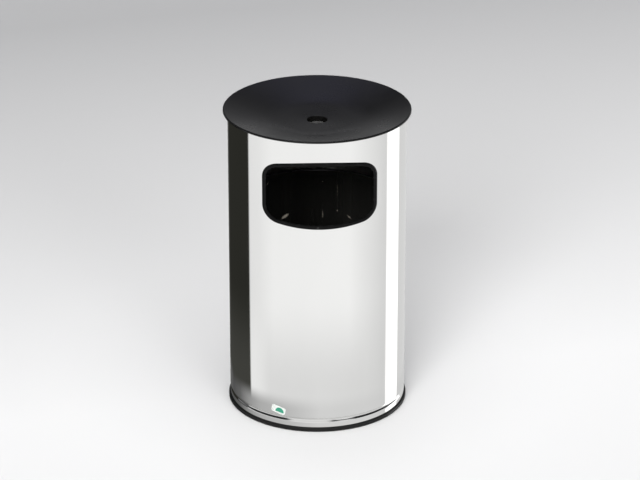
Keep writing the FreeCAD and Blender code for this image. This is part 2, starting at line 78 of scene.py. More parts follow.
BAIL_HEIGHT, BAIL_WIRE, BAIL_DROOP = 460 * MM, 2.0 * MM, math.radians(1.5)
BAIL_END, BAIL_BEND, BEND_START, BAIL_REACH = 170 * MM, 4 * MM, 177.8 * MM, 157 * MM
GRIP_RADIUS, GRIP_SPAN = 6.0 * MM, math.radians(28)


# ---- mesh helpers

def place(name, data):
    """An object in the scene for a mesh, a light or a camera."""
    item = bpy.data.objects.new(name, data)
    bpy.context.scene.collection.objects.link(item)
    return item


def place_mesh(name, mesh):
    """An object for a mesh with smooth faces, and sharp edges where they meet at a large angle."""
    mesh.shade_smooth()
    mesh.set_sharp_from_angle(angle=SHARP_ANGLE)
    return place(name, mesh)


def make_object(name, vertices, faces):
    mesh = bpy.data.meshes.new(name)
    mesh.from_pydata([tuple(point) for point in vertices], [], faces)
    mesh.validate()
    mesh.update()
    return place_mesh(name, mesh)


def finish_piece(piece, body, slot, material, *nodes):
    """Dress a piece, let it ride on its body and say which CAD nodes it stands for."""
    piece.data.materials.clear()
    for item in material if isinstance(material, (list, tuple)) else [material]:
        piece.data.materials.append(item)
    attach(piece, body)
    if nodes:
        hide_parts(*nodes)
    return piece


def straighten_normals(piece, chosen=None):
    """Make the shading of a turned surface exactly round: in plan, its chosen faces' normals are radial."""
    mesh = piece.data
    normals = [Vector(corner.vector) for corner in mesh.corner_normals]
    for polygon in mesh.polygons:
        if chosen and not chosen(polygon):
            continue
        for loop in polygon.loop_indices:
            point = mesh.vertices[mesh.loops[loop].vertex_index].co
            normal = normals[loop]
            across = math.hypot(normal.x, normal.y)
            radius = math.hypot(point.x, point.y)
            if across < 1e-3 or radius < 1e-5:
                continue
            sign = 1 if normal.x * point.x + normal.y * point.y > 0 else -1
            normals[loop] = Vector((sign * across * point.x / radius,
                                    sign * across * point.y / radius, normal.z)).normalized()
    mesh.normals_split_custom_set(normals)


def rounded(corners, step=12, support=0.4 * MM):
    """A polyline through 2-D corners (a, b) or (a, b, radius), each radius drawn as a fillet.
    A point just beside each fillet keeps the shading of the straight stretches straight."""
    count = len(corners)
    line = []
    for index, corner in enumerate(corners):
        here = Vector(corner[:2])
        radius = corner[2] if len(corner) > 2 else 0
        if not radius:
            line.append(here)
            continue
        back = Vector(corners[index - 1][:2]) - here
        ahead = Vector(corners[(index + 1) % count][:2]) - here
        opening = back.angle(ahead)
        run = radius / math.tan(opening / 2)
        start, stop = here + back.normalized() * run, here + ahead.normalized() * run
        inward = (back.normalized() + ahead.normalized()).normalized()
        centre = here + inward * (radius / math.sin(opening / 2))
        first, last = start - centre, stop - centre
        span = math.atan2(first.x * last.y - first.y * last.x, first.dot(last))
        steps = max(2, math.ceil(abs(math.degrees(span)) / step))
        if back.length > run + 2 * support:
            line.append(start + back.normalized() * support)
        for number in range(steps + 1):
            turn = span * number / steps
            cos, sin = math.cos(turn), math.sin(turn)
            line.append(centre + Vector((first.x * cos - first.y * sin,
                                         first.x * sin + first.y * cos)))
        if ahead.length > run + 2 * support:
            line.append(stop + ahead.normalized() * support)
    return line


def arc(centre, radius, start, stop, steps):
    """2-D points round an arc, from one angle to another."""
    angles = [start + (stop - start) * step / steps for step in range(steps + 1)]
    return [Vector((centre[0] + radius * math.cos(angle), centre[1] + radius * math.sin(angle)))
            for angle in angles]


def subdivided(line, longest):
    """The closed polyline with its long stretches cut into pieces no longer than asked."""
    fine = []
    for start, stop in zip(line, line[1:] + line[:1]):
        parts = max(1, math.ceil((stop - start).length / longest))
        fine += [start.lerp(stop, part / parts) for part in range(parts)]
    return fine


def around(radius, angle, height):
    """The point at a radius and a height, an angle round from the front towards the right."""
    return (radius * math.sin(angle), -radius * math.cos(angle), height)


def lathe(name, profile, closed=True):
    """Turn a profile of (radius, height) points once round the Z axis."""
    steps = TURN_STEPS
    vertices, rings = [], []
    for radius, height in profile:
        if radius < 1e-6:
            rings.append([len(vertices)] * steps)
            vertices.append((0, 0, height))
            continue
        first = len(vertices)
        rings.append(list(range(first, first + steps)))
        vertices += [around(radius, 2 * math.pi * step / steps, height) for step in range(steps)]
    faces = []
    pairs = list(zip(rings, rings[1:])) + ([(rings[-1], rings[0])] if closed else [])
    for low, high in pairs:
        for step in range(steps):
            after = (step + 1) % steps
            corners = [low[step], low[after], high[after], high[step]]
            face = list(dict.fromkeys(corners))
            if len(face) > 2:
                faces.append(face)
    piece = make_object(name, vertices, faces)
    straighten_normals(piece)
    return piece


def grid_faces(rows, columns, wrap=True, first=0):
    """Quads over a grid of vertices stored row by row; wrap joins each row's last point to its first."""
    faces = []
    for row in range(first, first + (rows - 1) * columns, columns):
        for column in range(columns if wrap else columns - 1):
            right = (column + 1) % columns
            faces.append((row + column, row + right, row + columns + right, row + columns + column))
    return faces


def sweep(name, stations):
    """Skin a list of equal closed sections, each a list of 3-D points, and close both ends."""
    size = len(stations[0])
    vertices = [point for station in stations for point in station]
    faces = grid_faces(len(stations), size)
    faces.append(tuple(reversed(range(size))))
    faces.append(tuple(range(len(vertices) - size, len(vertices))))
    return make_object(name, vertices, faces)


# ---- shader helpers

def grey(tone):
    return (tone, tone, tone)


def colour_ramp(tree, source, stops):
    """Colour ramp from (position, colour) stops."""
    node = tree.nodes.new("ShaderNodeValToRGB")
    elements = node.color_ramp.elements
    while len(elements) < len(stops):
        elements.new(0.5)
    for element, (position, colour) in zip(elements, stops):
        element.position = position
        element.color = (*colour, 1)
    tree.links.new(source, node.inputs["Fac"])
    return node.outputs["Color"]


def smooth_share(tree, source, start, stop):
    """0 up to start and 1 from stop on, with a smooth rise between."""
    node = tree.nodes.new("ShaderNodeMapRange")
    node.interpolation_type = "SMOOTHSTEP"
    node.inputs["From Min"].default_value = start
    node.inputs["From Max"].default_value = stop
    tree.links.new(source, node.inputs["Value"])
    return node.outputs["Result"]


def mixed(tree, share, below, above):
    """One colour laid over another; the upper one may be a plain colour."""
    node = tree.nodes.new("ShaderNodeMix")
    node.data_type = "RGBA"
    lower, upper = node.inputs[6:8]
    tree.links.new(share, node.inputs["Factor"])
    tree.links.new(below, lower)
    if isinstance(above, tuple):
        upper.default_value = (*above, 1)
    else:
        tree.links.new(above, upper)
    return node.outputs[2]


class Shader:
    """A node material round one Principled shader. Constants go on the shader's own sockets."""

    def __init__(self, name, colour, roughness, metallic=0.0, **constants):
        self.material = bpy.data.materials.new(name)
        self.material.use_nodes = True
        self.tree = self.material.node_tree
        self.surface = self.tree.nodes["Principled BSDF"]
        constants.update(Base_Color=(*colour, 1), Roughness=roughness, Metallic=metallic)
        for socket, number in constants.items():
            self.surface.inputs[socket.replace("_", " ")].default_value = number
        self.place = self.add("ShaderNodeTexCoord").outputs["Object"]

    def add(self, kind, **settings):
        node = self.tree.nodes.new(kind)
        for name, setting in settings.items():
            setattr(node, name, setting)
        return node

    def link(self, source, target):
        self.tree.links.new(source, target)

    def noise(self, scale, detail, stretch=(1, 1, 1)):
        """A noise pattern over object coordinates that are scaled by axis."""
        scaled = self.add("ShaderNodeMapping")
        scaled.inputs["Scale"].default_value = stretch
        self.link(self.place, scaled.inputs["Vector"])
        node = self.add("ShaderNodeTexNoise")
        node.inputs["Scale"].default_value = scale
        node.inputs["Detail"].default_value = detail
        node.inputs["Roughness"].default_value = 0.55
        self.link(scaled.outputs["Vector"], node.inputs["Vector"])
        return node.outputs["Fac"]

    def cells(self, scale, output="Distance"):
        node = self.add("ShaderNodeTexVoronoi", feature="F1")
        node.inputs["Scale"].default_value = scale
        self.link(self.place, node.inputs["Vector"])
        return node.outputs[output]

    def spread(self, source, low, high, start=0.3, stop=0.7):
        """Map a pattern from start..stop to low..high."""
        node = self.add("ShaderNodeMapRange")
        for socket, number in (("From Min", start), ("From Max", stop),
                               ("To Min", low), ("To Max", high)):
            node.inputs[socket].default_value = number
        self.link(source, node.inputs["Value"])
        return node.outputs["Result"]

    def mark(self, strength, across, up, tilt, half_length, half_height):
        """A small slanting painted glint on the liner's far wall: a light patch standing in for reflected
        light, fading from its middle to a ragged edge.
        """
        node = self.add("ShaderNodeMapping", vector_type="TEXTURE")
        wall = math.sqrt(LINER_RADIUS ** 2 - across ** 2)
        node.inputs["Location"].default_value = (across, wall, up)
        node.inputs["Rotation"].default_value = (0, -math.radians(tilt), 0)
        node.inputs["Scale"].default_value = (half_length, 0.03, half_height)
        self.link(self.place, node.inputs["Vector"])
        size = self.add("ShaderNodeVectorMath", operation="LENGTH")
        self.link(node.outputs["Vector"], size.inputs[0])
        ragged = self.maths("ADD", size.outputs["Value"], self.spread(self.noise(600, 2), -0.25, 0.25))
        return self.spread(ragged, strength, 0.0, 0.1, 1.0)

    def maths(self, operation, first, second):
        node = self.add("ShaderNodeMath", operation=operation)
        for socket, item in zip(node.inputs, (first, second)):
            if isinstance(item, (int, float)):
                socket.default_value = item
            else:
                self.link(item, socket)
        return node.outputs["Value"]

    def colour(self, source, *stops):
        """Take the base colour from a pattern, by (position, colour) stops."""
        self.link(colour_ramp(self.tree, source, stops), self.surface.inputs["Base Color"])

    def roughness(self, source, low, high, start=0.3, stop=0.7):
        """Take the roughness from a pattern, as spread() maps it."""
        self.link(self.spread(source, low, high, start, stop), self.surface.inputs["Roughness"])

    def bump(self, *layers):
        """Stack (height pattern, strength, distance) bumps, and give back the finished material."""
        normal = None
        for height, strength, distance in layers:
            node = self.add("ShaderNodeBump")
            node.inputs["Strength"].default_value = strength
            node.inputs["Distance"].default_value = distance
            self.link(height, node.inputs["Height"])
            if normal is not None:
                self.link(normal, node.inputs["Normal"])
            normal = node.outputs["Normal"]
        self.link(normal, self.surface.inputs["Normal"])
        return self.material


# ---- materials

def polished_steel():
    """Mirror-polished stainless sheet: faint haze and wipe marks, a trace of rolled waviness."""
    shader = Shader("polished_steel", (0.86, 0.86, 0.85), 0.06, metallic=1.0)
    haze = shader.noise(9, 5, (1, 1, 0.45))
    wipe = shader.noise(26, 3, (1, 1, 0.16))
    haze_part, wipe_part = shader.spread(haze, 0.028, 0.062), shader.spread(wipe, 0.0, 0.02, 0.45, 0.75)
    shader.link(shader.maths("ADD", haze_part, wipe_part), shader.surface.inputs["Roughness"])
    shader.colour(haze, (0.25, (0.845, 0.845, 0.835)), (0.75, (0.875, 0.875, 0.865)))
    grain = shader.noise(1.0, 2, (6, 6, 2600))
    wave = shader.noise(5.5, 1, (1, 1, 0.3))
    return shader.bump((grain, 0.03, 0.00002), (wave, 0.05, 0.0012))


def inner_steel():
    """Inside of the drum: unpolished mill finish, duller than the outside, and darker partly as painted
    shade for the dim inside of the drum.
    """
    shader = Shader("mill_steel_and_shade", (0.55, 0.55, 0.54), 0.36, metallic=1.0)
    streak = shader.noise(40, 4, (1, 1, 0.05))
    shader.roughness(streak, 0.3, 0.44)
    shader.colour(streak, (0.3, (0.50, 0.50, 0.49)), (0.7, (0.60, 0.60, 0.59)))
    return shader.bump((shader.noise(700, 3), 0.12, 0.0001))


def weld_steel():
    """Ground weld down the back of the drum."""
    shader = Shader("ground_weld", (0.62, 0.62, 0.61), 0.3, metallic=1.0)
    scratch = shader.noise(1, 3, (900, 900, 60))
    shader.roughness(scratch, 0.2, 0.42)
    return shader.bump((scratch, 0.25, 0.0001))


def dish_coating():
    """Satin black powder coat with a fine orange-peel texture."""
    shader = Shader("black_coating", grey(0.005), 0.3, Specular_IOR_Level=0.38)
    cloud = shader.noise(16, 5)
    shader.colour(cloud, (0.3, (0.0042, 0.0042, 0.0043)), (0.7, (0.0066, 0.0066, 0.0067)))
    shader.roughness(cloud, 0.26, 0.33)
    return shader.bump((shader.noise(2400, 2), 0.05, 0.00003))


def stained_coating():
    """The same coating inside the hole, where ash and tar have left it dull."""
    shader = Shader("stained_coating", grey(0.004), 0.5, Specular_IOR_Level=0.03)
    stain = shader.noise(190, 5)
    shader.colour(stain, (0.35, grey(0.003)), (0.75, (0.008, 0.0075, 0.007)))
    shader.roughness(stain, 0.4, 0.65)
    return shader.bump((stain, 0.1, 0.0001))


def edging_plastic():
    """Soft black PVC edging: satin, with faint draw marks."""
    shader = Shader("black_edging", grey(0.004), 0.3, Specular_IOR_Level=0.07)
    cloud = shader.noise(60, 4)
    shader.roughness(cloud, 0.22, 0.3)
    shader.colour(cloud, (0.3, grey(0.003)), (0.7, grey(0.006)))
    return shader.bump((shader.noise(900, 2), 0.08, 0.0001))


def foot_rubber():
    """Black rubber foot ring, scuffed and a little dusty in patches."""
    shader = Shader("black_rubber", grey(0.006), 0.48, Specular_IOR_Level=0.3)
    scuff_and_glint = shader.noise(120, 6, (1, 1, 3))
    shader.roughness(scuff_and_glint, 0.38, 0.6)
    shader.colour(scuff_and_glint, (0.35, grey(0.005)), (0.8, (0.011, 0.011, 0.0105)))
    return shader.bump((shader.noise(1100, 3), 0.2, 0.0001))


def liner_lacquer():
    """Black gloss lacquer with faint runs, and a few painted glints on the wall behind the opening: light
    patches standing in for reflected light.
    """
    shader = Shader("liner_coating", grey(0.005), 0.16)
    run = shader.noise(14, 3, (1, 1, 0.05))
    # Painted glints: light patches, streaks and dots on the far wall that stand in for reflections of
    # light.
    painted_glints = shader.mark(0.6, -0.065, 0.352, 32, 0.012, 0.0048)
    for scuff_and_glint in (
            (0.22, 0.076, 0.350, -40, 0.012, 0.004),
            (0.26, -0.103, 0.439, 50, 0.013, 0.0034),
            (0.28, 0.018, 0.429, 0, 0.004, 0.004),
            (0.26, 0.050, 0.410, 90, 0.056, 0.0028),
            (0.36, 0.050, 0.362, 0, 0.004, 0.005),
            (0.30, 0.018, 0.350, 90, 0.024, 0.003)):
        painted_glints = shader.maths("MAXIMUM", painted_glints, shader.mark(*scuff_and_glint))
    # The ramp's last stop is the light colour of the painted glints.
    shader.colour(
        shader.maths("ADD", run, painted_glints),
        (0.3, (0.011, 0.011, 0.0105)), (0.72, (0.017, 0.017, 0.0155)), (1.0, (0.80, 0.72, 0.60)))
    run_part, glint_part = shader.spread(run, 0.12, 0.18), shader.spread(painted_glints, 0, 0.2, 0, 1)
    shader.link(shader.maths("ADD", run_part, glint_part), shader.surface.inputs["Roughness"])
    return shader.bump((shader.noise(500, 3), 0.04, 0.0001), (run, 0.1, 0.0006))


def zinc_wire():
    """Zinc-plated wire: bright, with fine draw lines and dull patches."""
    shader = Shader("wire_steel", (0.56, 0.57, 0.58), 0.3, metallic=1.0)
    patch = shader.noise(70, 5)
    shader.roughness(patch, 0.22, 0.45)
    shader.colour(patch, (0.3, (0.47, 0.48, 0.49)), (0.7, (0.64, 0.65, 0.66)))
    return shader.bump((shader.noise(900, 3), 0.15, 0.0001))


def galvanised_sheet():
    """Galvanised sheet with its frosted spangle."""
    shader = Shader("plain_steel", (0.5, 0.51, 0.52), 0.4, metallic=1.0)
    spangle = shader.cells(110, output="Color")
    shade = shader.add("ShaderNodeRGBToBW")
    shader.link(spangle, shade.inputs["Color"])
    level = shade.outputs["Val"]
    shader.colour(level, (0.1, (0.42, 0.43, 0.44)), (0.9, (0.60, 0.61, 0.62)))
    shader.roughness(level, 0.3, 0.5, 0.0, 1.0)
    return shader.bump((shader.noise(300, 4), 0.1, 0.0002))


def rivet_metal():
    """Plain aluminium, dented by the rivet set."""
    shader = Shader("rivet_steel", (0.66, 0.66, 0.68), 0.3, metallic=1.0)
    dents = shader.noise(420, 4)
    shader.roughness(dents, 0.24, 0.44)
    return shader.bump((dents, 0.2, 0.0002))


def grip_plastic():
    """Moulded black plastic with a fine pebble grain."""
    shader = Shader("grip_plastic", grey(0.02), 0.45)
    grain = shader.cells(1300)
    shader.roughness(grain, 0.38, 0.52, 0.0, 1.0)
    return shader.bump((grain, 0.2, 0.00015))


def sticker_film():
    """Printed film: white ground with one plain green half disc, placed by the sticker's UV map."""
    shader = Shader("sticker", (0.85, 0.86, 0.84), 0.3, Coat_Weight=0.25)
    flat = shader.add("ShaderNodeUVMap", uv_map="face")
    split = shader.add("ShaderNodeSeparateXYZ")
    shader.link(flat.outputs["UV"], split.inputs["Vector"])
    across = shader.maths("SUBTRACT", split.outputs["X"], 0.60)
    up = shader.maths("MULTIPLY", shader.maths("SUBTRACT", split.outputs["Y"], 0.26), 0.52)
    distance = shader.maths("SQRT", shader.maths(
        "ADD", shader.maths("MULTIPLY", across, across), shader.maths("MULTIPLY", up, up)), 0)
    below = shader.spread(up, 1.0, 0.0, -0.03, -0.02)
    white, green = (0.68, 0.71, 0.68), (0.03, 0.27, 0.17)
    shader.colour(
        shader.maths("MAXIMUM", distance, below), (0.0, green), (0.295, green), (0.31, white), (1.0, white))
    return shader.bump((shader.noise(400, 2), 0.05, 0.0001))


# ---- the opening's outline

class Outline:
    """The throw-in opening seen square on: (across, up), moved inwards by an inset."""

    def __init__(self, inset):
        self.half = OPENING_HALF - inset
        self.corner = CORNER_RADIUS - inset
        self.low_bow, self.high_bow = LOW_BOW - inset, HIGH_BOW - inset
        self.low_centre, self.high_centre = OPENING_LOW + LOW_BOW, OPENING_HIGH - HIGH_BOW
        self.side = self.half - self.corner
        self.low = self.low_centre - math.sqrt((self.low_bow - self.corner) ** 2 - self.side ** 2)
        self.high = self.high_centre + math.sqrt((self.high_bow - self.corner) ** 2 - self.side ** 2)
        self.low_turn = math.atan2(self.low_centre - self.low, self.side)
        self.high_turn = math.atan2(self.high - self.high_centre, self.side)

    def edges(self, across):
        """Lowest and highest point of the opening at a distance from its middle."""
        across = min(abs(across), self.half)
        corner_rise = math.sqrt(max(self.corner ** 2 - (across - self.side) ** 2, 0))
        low, high = self.low - corner_rise, self.high + corner_rise
        if across < self.low_bow * math.cos(self.low_turn):
            low = self.low_centre - math.sqrt(self.low_bow ** 2 - across ** 2)
        if across < self.high_bow * math.cos(self.high_turn):
            high = self.high_centre + math.sqrt(self.high_bow ** 2 - across ** 2)
        return low, high

    def loop(self, joint, spacing):
        """Stations (across, up, inward across, inward up) once round, from the joint at the bottom."""
        start = -math.pi / 2 + joint / self.low_bow
        arcs = [
            (0, self.low_centre, self.low_bow, start, -self.low_turn),
            (self.side, self.low, self.corner, -self.low_turn, 0),
            (self.side, self.high, self.corner, 0, self.high_turn),
            (0, self.high_centre, self.high_bow, self.high_turn, math.pi - self.high_turn),
            (-self.side, self.high, self.corner, math.pi - self.high_turn, math.pi),
            (-self.side, self.low, self.corner, math.pi, math.pi + self.low_turn),
            (0, self.low_centre, self.low_bow, math.pi + self.low_turn, 2 * math.pi + start),
        ]
        stations = []
        for number, (across, up, radius, first, last) in enumerate(arcs):
            steps = max(2, math.ceil(radius * abs(last - first) / spacing))
            for step in range(0 if number in (0, 2, 5) else 1, steps + 1):
                angle = first + (last - first) * step / steps
                cos, sin = math.cos(angle), math.sin(angle)
                stations.append((across + radius * cos, up + radius * sin, -cos, -sin))
        return stations


# ---- drum

def bead_inset(height):
    """How far the pressed bead pulls the sheet in at a height: a soft-shouldered groove."""
    distance = abs(height - BEAD_HEIGHT) / BEAD_HALF_WIDTH
    return BEAD_DEPTH * 0.5 * (1 + math.cos(math.pi * distance)) if distance < 1 else 0.0


def shell_columns(cut):
    """Column angles round the drum, closer together where the opening's corners are."""
    corner_steps, middle_steps, round_steps = 14, 40, 150
    join = cut.low_bow * math.cos(cut.low_turn)
    first_turn = math.asin((join - cut.side) / cut.corner)
    middle = [join * step / middle_steps for step in range(middle_steps)]
    turn = (math.pi / 2 - first_turn) / corner_steps
    corner = [cut.side + cut.corner * math.sin(first_turn + turn * step)
              for step in range(corner_steps + 1)]
    right = [math.asin(across / BODY_RADIUS) for across in middle + corner]
    edge = right[-1]
    beyond = [edge + (math.pi - edge) * step / round_steps for step in range(1, round_steps + 1)]
    half = right + beyond
    return half + [-angle for angle in reversed(half[1:-1])], edge


def shell_foot():
    """(radius, height) points up the drum's foot, close together across the bead."""
    bead_low, bead_high = BEAD_HEIGHT - BEAD_HALF_WIDTH, BEAD_HEIGHT + BEAD_HALF_WIDTH
    heights = [SHELL_LOW, 12 * MM, bead_low - 1 * MM]
    heights += [bead_low + (bead_high - bead_low) * step / 22 for step in range(23)]
    heights += [bead_high + 1 * MM, 45 * MM]
    return [(BODY_RADIUS - bead_inset(height), height) for height in heights]


def shell_brim():
    """(radius, height) points over the turned-in top edge."""
    bend, inner_edge = 1.4 * MM, (BODY_RADIUS - TOP_FLANGE, SHELL_TOP)
    line = rounded([(BODY_RADIUS, SHELL_TOP - 25 * MM), (BODY_RADIUS, SHELL_TOP, bend), inner_edge])
    return [tuple(point) for point in line[:-1]] + [inner_edge]


def rise(start, stop, steps):
    """Points up the drum's straight wall, after a start height and up to a stop height."""
    return [(BODY_RADIUS, start + (stop - start) * step / steps) for step in range(1, steps + 1)]


def shell_skin():
    """The drum's outer face, without the opening, as one layer of faces."""
    cut = Outline(TRIM_FACE - TRIM_WEB)
    angles, edge = shell_columns(cut)
    foot, brim = shell_foot(), shell_brim()
    below, beside, above = 26, 10, 8
    vertices = []
    for angle in angles:
        low, high = cut.low, cut.high
        if abs(angle) < edge + 1e-6:
            low, high = cut.edges(BODY_RADIUS * math.sin(angle))
        wall = rise(foot[-1][1], low, below) + rise(low, high, beside) + rise(high, brim[0][1], above)
        vertices += [around(radius, angle, height) for radius, height in foot + wall[:-1] + brim]
    gap_rows = range(len(foot) + below - 1, len(foot) + below + beside - 1)
    count = len(angles)
    rows = len(vertices) // count
    faces = []
    for column in range(count):
        after = (column + 1) % count
        beside_gap = max(abs(angles[column]), abs(angles[after])) < edge + 1e-6
        for row in range(rows - 1):
            if beside_gap and row in gap_rows:
                continue
            here, there = column * rows + row, after * rows + row
            faces.append((here, there, there + 1, here + 1))
    return make_object("drum_skin", vertices, faces)


def follows_drum(polygon):
    """True for faces that follow the drum, not for the cut edges of the opening."""
    centre, normal = polygon.center, polygon.normal
    plan = math.hypot(centre.x, centre.y) * math.hypot(normal.x, normal.y)
    along = abs(normal.x * centre.x + normal.y * centre.y)
    from_opening = abs(centre.z - (OPENING_LOW + OPENING_HIGH) / 2)
    return plan < 1e-9 or along / plan > 0.98 or from_opening > 90 * MM


def make_shell(outside, inside):
    """Drum sheet with its bead, turned-in top edge and opening, modelled with its real thickness."""
    skin = shell_skin()
    solid = skin.modifiers.new("sheet", "SOLIDIFY")
    solid.thickness = SHEET
    solid.offset = -1
    solid.use_even_offset = True
    solid.material_offset = 1
    skin.data.materials.append(outside)
    skin.data.materials.append(inside)
    seen = skin.evaluated_get(bpy.context.evaluated_depsgraph_get())
    mesh = bpy.data.meshes.new_from_object(seen)
    bpy.data.objects.remove(skin)
    shell = place_mesh("drum_shell", mesh)
    straighten_normals(shell, follows_drum)
    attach(shell, "casing")
    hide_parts("body_shell")


def make_shell_weld(material):
    """Ground weld down the back, a hair proud of the sheet."""
    half, proud, low, high = 1.3 * MM, 0.12 * MM, 45 * MM, SHELL_TOP - 4 * MM
    stations = []
    for step in range(90):
        height = low + (high - low) * step / 89
        ripple = 0.08 * MM * math.sin(height / (4.5 * MM)) * math.sin(height / (31 * MM))
        section = []
        for across, lift in ((-1, -0.05), (-0.6, 0.7), (0, 1), (0.6, 0.7), (1, -0.05)):
            radius = BODY_RADIUS + proud * lift
            width = across * half + ripple
            section.append((width, math.sqrt(radius ** 2 - width ** 2), height))
        section.append((half + ripple, BODY_RADIUS - 0.4 * MM, height))
        section.append((-half + ripple, BODY_RADIUS - 0.4 * MM, height))
        stations.append(section)
    return finish_piece(sweep("drum_weld", stations), "casing", "polished_steel", material)


def make_opening_trim(material):
    """U-section edging round the opening: thin outer lip, rounded web, one butt joint below."""
    outer = Outline(0)
    inner_leg = -(SHEET + TRIM_PROUD)
    section = rounded([
        (0.1 * MM, 0.0),
        (0.0 * MM, 0.7 * MM, 0.3 * MM),
        (2.2 * MM, TRIM_PROUD, 2.2 * MM),
        (TRIM_FACE, TRIM_PROUD, 2.3 * MM),
        (TRIM_FACE, inner_leg, 2.3 * MM),
        (2.2 * MM, inner_leg, 2.0 * MM),
        (0.0 * MM, -SHEET - 0.7 * MM, 0.3 * MM),
        (0.1 * MM, -SHEET),
        (TRIM_FACE - TRIM_WEB, -SHEET),
        (TRIM_FACE - TRIM_WEB, 0.0),
    ], step=14, support=0.15 * MM)
    stations = []
    loop = outer.loop(joint=-5 * MM, spacing=2.2 * MM)
    for across, up, inward, upward in loop:
        ring = []
        for depth, lift in section:
            x = across + depth * inward
            z = up + depth * upward
            ring.append((x, -math.sqrt((BODY_RADIUS + lift) ** 2 - x ** 2), z))
        stations.append(ring)
    gap = 0.12 * MM
    for ring, side in ((stations[0], 1), (stations[-1], -1)):
        ring[:] = [(x + side * gap, y, z) for x, y, z in ring]
    return finish_piece(sweep("opening_edging", stations), "casing", "black_edging", material,
                        "opening_trim")


def make_foot_ring(material):
    """Rubber ring on the drum's lower edge, with a shallow line round its outer face."""
    outer, inner, slot_low = 193.4 * MM, 186 * MM, SHELL_LOW
    line, top = 5.6 * MM, 9.4 * MM
    profile = rounded([
        (inner, 0.0, 0.5 * MM),
        (191.3 * MM, 0.0, 0.8 * MM),
        (outer, 2.2 * MM, 1.2 * MM),
        (outer, line - 0.5 * MM),
        (outer - 0.45 * MM, line),
        (outer, line + 0.5 * MM),
        (outer, top, 1.5 * MM),
        (BODY_RADIUS + 0.05 * MM, top, 0.3 * MM),
        (BODY_RADIUS, slot_low),
        (BODY_RADIUS - SHEET, slot_low),
        (BODY_RADIUS - SHEET, 8 * MM, 0.3 * MM),
        (inner, 8 * MM, 0.5 * MM),
    ], support=0.2 * MM)
    return finish_piece(lathe("foot_ring", profile), "casing", "black_rubber", material, "base_ring")


def make_floor_pan(material):
    """Pressed bottom with an upturned flange and a shallow stiffening swage."""
    outer, low, gauge, flange = BODY_RADIUS - SHEET, 30.5 * MM, 1.2 * MM, 13 * MM
    swage = 0.3 * MM
    profile = rounded([
        (0, low + gauge), (120 * MM, low + gauge), (124 * MM, low + gauge - swage, 6 * MM),
        (136 * MM, low + gauge - swage, 6 * MM), (140 * MM, low + gauge, 6 * MM),
        (outer - gauge, low + gauge, 1.3 * MM), (outer - gauge, low + flange),
        (outer, low + flange), (outer, low, 2.5 * MM), (0, low),
    ])
    return finish_piece(lathe("bottom_pan", profile, closed=False), "casing", "plain_steel",
                        material, "floor_pan")


def make_sticker(material):
    """Thin film sticker with round corners, wrapped on the drum a little crooked."""
    width, height, low, corner = 33 * MM, 17 * MM, 34.5 * MM, 5 * MM
    centre, gauge, face = math.radians(-28), 0.12 * MM, 0.138 * MM
    crooked = Matrix.Rotation(math.radians(-12), 2)
    middle = Vector((0, height / 2))
    outline = subdivided(rounded([
        (-width / 2, 0, corner), (width / 2, 0, corner),
        (width / 2, height, corner), (-width / 2, height, corner)], step=10), 1.5 * MM)

    def wrapped(point, lift):
        across, up = middle + crooked @ (Vector(point) - middle)
        return around(BODY_RADIUS + lift, centre + across / BODY_RADIUS, low + up)

    levels = [(1.0, 0.0), (1.0, gauge)]
    levels += [(scale, face) for scale in (0.97, 0.86, 0.72, 0.58, 0.44, 0.3, 0.16)]
    rings, flats = [], []
    for scale, lift in levels:
        flat = [middle + (point - middle) * scale for point in outline]
        flats += flat
        rings += [wrapped(point, lift) for point in flat]
    count = len(outline)
    faces = grid_faces(len(levels), count)
    rings.append(wrapped(middle, face))
    flats.append(middle)
    last = (len(levels) - 1) * count
    faces += [(last + step, last + (step + 1) % count, len(rings) - 1) for step in range(count)]
    sticker = make_object("sticker", rings, faces)
    layer = sticker.data.uv_layers.new(name="face")
    for loop in sticker.data.loops:
        flat = flats[loop.vertex_index]
        layer.data[loop.index].uv = (flat.x / width + 0.5, flat.y / height)
    return finish_piece(sticker, "casing", "sticker", material, "info_label")


# ---- ash dish

def flank(radius):
    """Height of the dish's upper face on the flank."""
    corner = DISH_TOP + LIP_BEND * (FLANK_SLOPE + math.sqrt(1 + FLANK_SLOPE ** 2) - 1)
    return corner - FLANK_SLOPE * (DISH_RADIUS - radius)


def make_dish(coating, stained):
    """Pressed dish with a bent lip, a sloping flank, a flatter middle and a drawn-down hole."""
    lip_inner = DISH_RADIUS - DISH_GAUGE
    collar = HOLE_RADIUS + DISH_GAUGE
    slope = (flank(FLANK_INNER) - HOLE_HEIGHT) / (FLANK_INNER - HOLE_RADIUS)
    profile = rounded([
        (DISH_RADIUS, LIP_LOW, 0.5 * MM),
        (DISH_RADIUS, flank(DISH_RADIUS), LIP_BEND),
        (FLANK_INNER, flank(FLANK_INNER), 240 * MM),
        (HOLE_RADIUS, HOLE_HEIGHT, 2.5 * MM),
        (HOLE_RADIUS, COLLAR_LOW, 0.5 * MM),
        (collar, COLLAR_LOW, 0.5 * MM),
        (collar, HOLE_HEIGHT + DISH_GAUGE * slope - DISH_GAUGE, 2.0 * MM),
        (FLANK_INNER, flank(FLANK_INNER) - DISH_GAUGE, 240 * MM),
        (lip_inner, flank(lip_inner) - DISH_GAUGE, 1.0 * MM),
        (lip_inner, LIP_LOW, 0.5 * MM),
    ], step=1.2)
    fine = subdivided(profile, 8 * MM)
    dish = finish_piece(lathe("dish", fine), "ashtray", "black_coating", [coating, stained], "ash_dish")
    for polygon in dish.data.polygons:
        across = math.hypot(polygon.center.x, polygon.center.y)
        polygon.material_index = 1 if across < HOLE_RADIUS + 0.9 * MM else 0
    return dish


def make_centring_ring(material):
    """Strip ring under the dish, its top edge on the dish's sloping flank."""
    outer, inner, low = 185.2 * MM, 183.7 * MM, 652 * MM
    profile = rounded([
        (outer, low, 0.4 * MM), (outer, flank(outer) - DISH_GAUGE),
        (inner, flank(inner) - DISH_GAUGE), (inner, low, 0.4 * MM)], support=0.2 * MM)
    return finish_piece(lathe("locating_ring", profile), "ashtray", "black_coating", material,
                        "centring_ring")


# ---- liner

